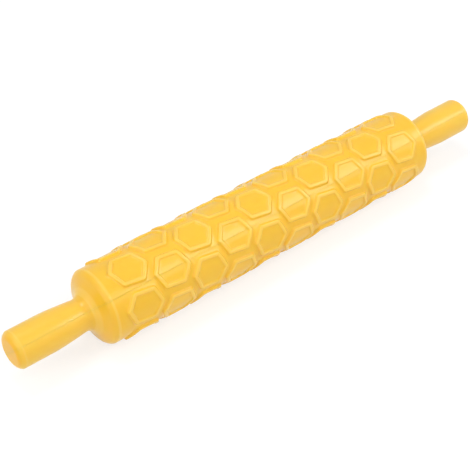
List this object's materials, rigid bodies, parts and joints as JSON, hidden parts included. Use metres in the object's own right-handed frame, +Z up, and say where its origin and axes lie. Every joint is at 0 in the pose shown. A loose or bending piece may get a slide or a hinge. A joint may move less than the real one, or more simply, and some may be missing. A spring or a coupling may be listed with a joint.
{
  "type": "embossed rolling pin",
  "caption": "Moulded plastic rolling pin with a raised honeycomb relief on its barrel, built as hollow half shells with integral tapered grips.",
  "frame": {"origin": "middle of the pin's axis, which is also the middle of its box", "axes": "+X along the pin from one grip to the other, +Z up as it lies on a table; the parting plane holds the X axis and rises at 45 degrees towards -Y"},
  "size_m": [0.319, 0.0438, 0.0438],
  "materials": {
    "yellow_plastic": "satin moulded plastic, warm yellow"
  },
  "bodies": {
    "root": {"shell_lower_front": "yellow_plastic", "shell_upper_back": "yellow_plastic"}
  },
  "joints": []
}
